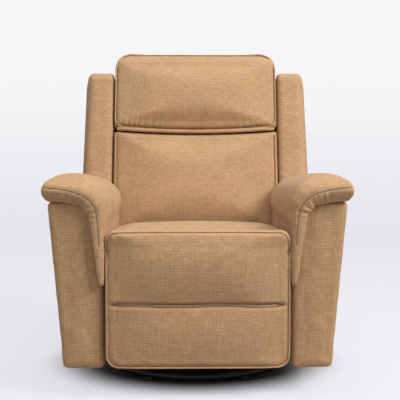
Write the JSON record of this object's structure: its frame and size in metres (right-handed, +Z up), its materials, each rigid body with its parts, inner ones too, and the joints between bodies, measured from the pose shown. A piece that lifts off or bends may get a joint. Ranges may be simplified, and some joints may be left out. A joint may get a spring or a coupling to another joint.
{
  "type": "swivel glider recliner",
  "caption": "Upholstered nursery armchair with padded arms, winged reclining back and fold-out footrest, gliding and swivelling on a round floor ring.",
  "frame": {"origin": "on the floor, on the turntable's axis, at the middle of the chair's plan", "axes": "+Z up, the sitter faces -Y, +X to the sitter's left"},
  "size_m": [0.8342, 0.8862, 1.0087],
  "materials": {
    "tan_fabric": "tan chenille weave with a fine grid",
    "black_steel": "black powder coat",
    "zinc_steel": "zinc plated",
    "frame_wood": "plain sawn frame timber",
    "black_plastic": "moulded, slightly matt",
    "webbing": "elastic upholstery webbing"
  },
  "bodies": {
    "floor_base": {"base_ring": "black_steel", "floor_glides": "black_plastic", "base_cross": "black_steel", "bearing_lower_race": "zinc_steel", "bearing_washer": "black_plastic", "king_bolt": "zinc_steel", "king_nut": "zinc_steel"},
    "swivel_stage": {"bearing_upper_race": "zinc_steel", "swivel_plate": "black_steel", "glide_stands": "black_steel", "stand_bolts": "zinc_steel", "glide_upper_pins": "zinc_steel"},
    "front_left_link": {"glide_link_front_left": "zinc_steel"},
    "front_right_link": {"glide_link_front_right": "zinc_steel"},
    "rear_left_link": {"glide_link_rear_left": "zinc_steel"},
    "rear_right_link": {"glide_link_rear_right": "zinc_steel"},
    "chair_frame": {"glide_rails": "zinc_steel", "glide_lower_pins": "zinc_steel", "cross_tube_front": "zinc_steel", "cross_tube_rear": "zinc_steel", "mechanism_plates": "black_steel", "mechanism_spacers": "zinc_steel", "seat_rail_front": "frame_wood", "seat_rail_rear": "frame_wood", "seat_side_rails": "frame_wood", "seat_springs": "zinc_steel", "seat_cushion": "tan_fabric", "arm_frame_left": "frame_wood", "arm_frame_right": "frame_wood", "arm_cover_left": "tan_fabric", "arm_cover_right": "tan_fabric", "arm_pad_left": "tan_fabric", "arm_pad_right": "tan_fabric", "rear_apron": "tan_fabric", "recline_pins": "zinc_steel", "lift_pins": "zinc_steel", "lever_bezel": "black_plastic"},
    "backrest": {"outer_back": "tan_fabric", "back_wing_left": "tan_fabric", "back_wing_right": "tan_fabric", "lumbar_cushion": "tan_fabric", "headrest_cushion": "tan_fabric", "back_posts": "frame_wood", "back_rail_top": "frame_wood", "back_rail_bottom": "frame_wood", "back_webbing": "webbing", "back_brackets": "zinc_steel", "back_bracket_screws": "zinc_steel"},
    "footrest_lift": {"lift_links": "zinc_steel", "lift_torque_tube": "zinc_steel", "link_pins": "zinc_steel"},
    "footrest_carry": {"carry_links": "zinc_steel"},
    "footrest_guide": {"guide_links": "zinc_steel"},
    "footrest": {"foot_board": "frame_wood", "foot_brackets": "zinc_steel", "foot_bracket_pins": "zinc_steel", "foot_pad": "tan_fabric"},
    "release_lever": {"lever_handle": "black_plastic", "lever_shaft": "zinc_steel", "lever_crank": "zinc_steel"}
  },
  "joints": [
    {"name": "swivel", "type": "hinge", "parent": "floor_base", "child": "swivel_stage", "pos_m": [0, 0, 0.045], "axis": [0, 0, 1], "continuous": true},
    {"name": "glide", "type": "hinge", "parent": "swivel_stage", "child": "front_left_link", "pos_m": [0.159, -0.11, 0.19], "axis": [-1, 0, 0], "range_deg": [-25, 25]},
    {"name": "glide_front_right", "type": "hinge", "parent": "swivel_stage", "child": "front_right_link", "pos_m": [-0.159, -0.11, 0.19], "axis": [-1, 0, 0], "range_deg": [-25.5, 25.5]},
    {"name": "glide_rear_left", "type": "hinge", "parent": "swivel_stage", "child": "rear_left_link", "pos_m": [0.159, 0.11, 0.19], "axis": [-1, 0, 0], "range_deg": [-25.5, 25.5]},
    {"name": "glide_rear_right", "type": "hinge", "parent": "swivel_stage", "child": "rear_right_link", "pos_m": [-0.159, 0.11, 0.19], "axis": [-1, 0, 0], "range_deg": [-25.5, 25.5]},
    {"name": "chair_level", "type": "hinge", "parent": "front_left_link", "child": "chair_frame", "pos_m": [0.159, -0.11, 0.085], "axis": [-1, 0, 0], "range_deg": [-25.5, 25.5]},
    {"name": "recline", "type": "hinge", "parent": "chair_frame", "child": "backrest", "pos_m": [0, 0.17, 0.312], "axis": [-1, 0, 0], "range_deg": [0, 40]},
    {"name": "footrest_open", "type": "hinge", "parent": "chair_frame", "child": "footrest_lift", "pos_m": [0, -0.32, 0.322], "axis": [-1, 0, 0], "range_deg": [0, 86]},
    {"name": "footrest_knee", "type": "hinge", "parent": "footrest_lift", "child": "footrest_carry", "pos_m": [0, -0.31299, 0.2022], "axis": [-1, 0, 0], "range_deg": [-116.17, 0.3]},
    {"name": "footrest_guide_pivot", "type": "hinge", "parent": "footrest_lift", "child": "footrest_guide", "pos_m": [0, -0.31255, 0.17181], "axis": [-1, 0, 0], "range_deg": [-115.45, 0.3]},
    {"name": "footrest_turn", "type": "hinge", "parent": "footrest_carry", "child": "footrest", "pos_m": [0, -0.374, 0.317], "axis": [-1, 0, 0], "range_deg": [-0.3, 118.17]},
    {"name": "release_pull", "type": "hinge", "parent": "chair_frame", "child": "release_lever", "pos_m": [-0.33, -0.02, 0.288], "axis": [-1, 0, 0], "range_deg": [0, 45], "stiffness_Nm_per_rad": 1.5, "springref_deg": -11.46}
  ],
  "couplings": [
    {"joint": "glide_front_right", "follows": "glide", "ratio": 1},
    {"joint": "glide_rear_left", "follows": "glide", "ratio": 1},
    {"joint": "glide_rear_right", "follows": "glide", "ratio": 1},
    {"joint": "chair_level", "follows": "glide", "ratio": -1},
    {"joint": "footrest_knee", "follows": "footrest_open", "ratio": -1.3473},
    {"joint": "footrest_guide_pivot", "follows": "footrest_open", "ratio": -1.3389},
    {"joint": "footrest_turn", "follows": "footrest_open", "ratio": 1.3705}
  ]
}
